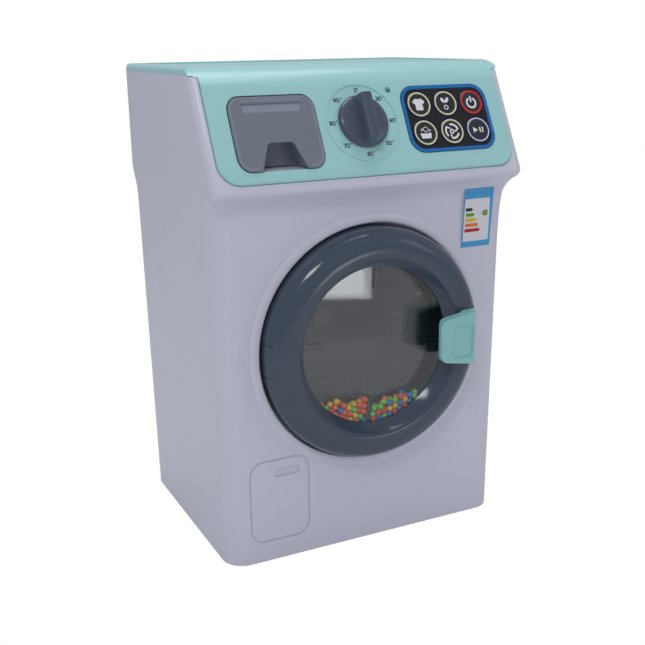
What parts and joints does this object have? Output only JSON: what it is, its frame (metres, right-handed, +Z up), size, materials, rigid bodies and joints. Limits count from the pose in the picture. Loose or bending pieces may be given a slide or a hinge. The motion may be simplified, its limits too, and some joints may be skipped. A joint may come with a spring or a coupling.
{
  "type": "toy washing machine",
  "caption": "Front loading toy washing machine with a hinged porthole door, turning drum, dial, soap drawer and push keys",
  "frame": {"origin": "on the surface the machine stands on, under the middle of its bounding box", "axes": "+Z up, -Y to the front with the door, +X to the right as seen from the front"},
  "size_m": [0.192, 0.157, 0.28],
  "materials": {
    "white_plastic": "smooth satin moulding",
    "mint_plastic": "glossy moulding",
    "handle_plastic": "glossy moulding",
    "slate_plastic": "glossy pearl grey moulding",
    "smoke_plastic": "satin grey moulding",
    "clear_plastic": "clear polystyrene",
    "bead_plastic": "orange, green, yellow and blue beads",
    "steel": "zinc plated",
    "dark_plastic": "dark grey moulding",
    "drum_plastic": "dark grey moulding",
    "pale_plastic": "white moulding",
    "label_film": "printed film with coloured bars",
    "lamp_plastic": "clear lamp lens",
    "black_plastic": "glossy black plate",
    "key_plastic": "dark key with a printed ring",
    "grey_rubber": "silicone rubber",
    "board_green": "glass fibre board",
    "gear_plastic": "natural acetal",
    "bush_brass": "sintered bronze",
    "motor_steel": "bright steel can",
    "cell_jacket": "printed cell jacket"
  },
  "bodies": {
    "cabinet_body": {"cabinet": "white_plastic", "back_cover": "white_plastic", "console_cover": "mint_plastic", "energy_label": "label_film", "hinge_bracket": "slate_plastic", "bracket_screws": "steel", "drawer_housing": "white_plastic", "detent_spring": "steel", "dial_switch": "dark_plastic", "status_lamp": "lamp_plastic", "keypad_plate": "black_plastic", "key_membrane": "grey_rubber", "control_board": "board_green", "board_screws": "steel", "mouth_liner": "dark_plastic", "shaft_bush": "bush_brass", "gearbox_case": "gear_plastic", "gearbox_lid": "gear_plastic", "idler_axle": "steel", "motor": "motor_steel", "drive_screws": "steel", "speaker": "dark_plastic", "speaker_clamp": "dark_plastic", "speaker_screws": "steel", "battery_box": "white_plastic", "battery_contacts": "steel", "battery_cells": "cell_jacket", "case_screws": "steel"},
    "door": {"door_ring": "slate_plastic", "door_window": "clear_plastic", "bead_pan": "clear_plastic", "beads": "bead_plastic", "door_back_ring": "dark_plastic", "door_screws": "steel", "hinge_pin": "steel", "handle_pin": "steel", "handle_spring": "steel"},
    "handle": {"door_handle": "handle_plastic"},
    "drawer": {"drawer_front": "smoke_plastic", "drawer_tray": "pale_plastic"},
    "dial": {"dial_knob": "slate_plastic", "dial_shaft": "pale_plastic"},
    "drum_body": {"drum": "drum_plastic", "drum_shaft": "steel", "drum_gear": "gear_plastic"},
    "idler": {"idler_gear": "gear_plastic"},
    "rotor": {"motor_shaft": "steel", "motor_pinion": "bush_brass"},
    "battery_lid": {"battery_door": "white_plastic", "battery_screw": "steel"},
    "shirt_button": {"key_shirt": "key_plastic"},
    "leaf_button": {"key_leaf": "key_plastic"},
    "power_button": {"key_power": "key_plastic"},
    "basket_button": {"key_basket": "key_plastic"},
    "spin_button": {"key_spin": "key_plastic"},
    "play_button": {"key_play": "key_plastic"}
  },
  "joints": [
    {"name": "door_hinge", "type": "hinge", "parent": "cabinet_body", "child": "door", "pos_m": [-0.0636, -0.0615, 0.125], "axis": [0, 0, -1], "range_deg": [0, 95]},
    {"name": "handle_pull", "type": "hinge", "parent": "door", "child": "handle", "pos_m": [0.06, -0.0645, 0.125], "axis": [0, 0, 1], "range_deg": [0, 14], "stiffness_Nm_per_rad": 0.03, "springref_deg": -8.59},
    {"name": "drawer_slide", "type": "slide", "parent": "cabinet_body", "child": "drawer", "axis": [0, -1, 0], "range_m": [0, 0.03]},
    {"name": "dial_turn", "type": "hinge", "parent": "cabinet_body", "child": "dial", "pos_m": [-0.003, -0.05363, 0.24941], "axis": [0, -0.887, 0.4617], "continuous": true},
    {"name": "drum_spin", "type": "hinge", "parent": "cabinet_body", "child": "drum_body", "pos_m": [0, 0.0195, 0.125], "axis": [0, 1, 0], "continuous": true},
    {"name": "idler_spin", "type": "hinge", "parent": "cabinet_body", "child": "idler", "pos_m": [0.012, 0.0195, 0.14578], "axis": [0, 1, 0], "continuous": true},
    {"name": "rotor_spin", "type": "hinge", "parent": "cabinet_body", "child": "rotor", "pos_m": [0.01875, 0.0195, 0.15748], "axis": [0, 1, 0], "continuous": true},
    {"name": "battery_lid_off", "type": "slide", "parent": "cabinet_body", "child": "battery_lid", "axis": [0, 1, 0], "range_m": [0, 0.03]},
    {"name": "shirt_press", "type": "slide", "parent": "cabinet_body", "child": "shirt_button", "axis": [0, 0.887, -0.4617], "range_m": [0, 0.0008], "stiffness_N_per_m": 600, "springref_m": -0.0006},
    {"name": "leaf_press", "type": "slide", "parent": "cabinet_body", "child": "leaf_button", "axis": [0, 0.887, -0.4617], "range_m": [0, 0.0008], "stiffness_N_per_m": 600, "springref_m": -0.0006},
    {"name": "power_press", "type": "slide", "parent": "cabinet_body", "child": "power_button", "axis": [0, 0.887, -0.4617], "range_m": [0, 0.0008], "stiffness_N_per_m": 600, "springref_m": -0.0006},
    {"name": "basket_press", "type": "slide", "parent": "cabinet_body", "child": "basket_button", "axis": [0, 0.887, -0.4617], "range_m": [0, 0.0008], "stiffness_N_per_m": 600, "springref_m": -0.0006},
    {"name": "spin_press", "type": "slide", "parent": "cabinet_body", "child": "spin_button", "axis": [0, 0.887, -0.4617], "range_m": [0, 0.0008], "stiffness_N_per_m": 600, "springref_m": -0.0006},
    {"name": "play_press", "type": "slide", "parent": "cabinet_body", "child": "play_button", "axis": [0, 0.887, -0.4617], "range_m": [0, 0.0008], "stiffness_N_per_m": 600, "springref_m": -0.0006}
  ],
  "couplings": [
    {"joint": "idler_spin", "follows": "drum_spin", "ratio": -4},
    {"joint": "rotor_spin", "follows": "drum_spin", "ratio": 16}
  ]
}
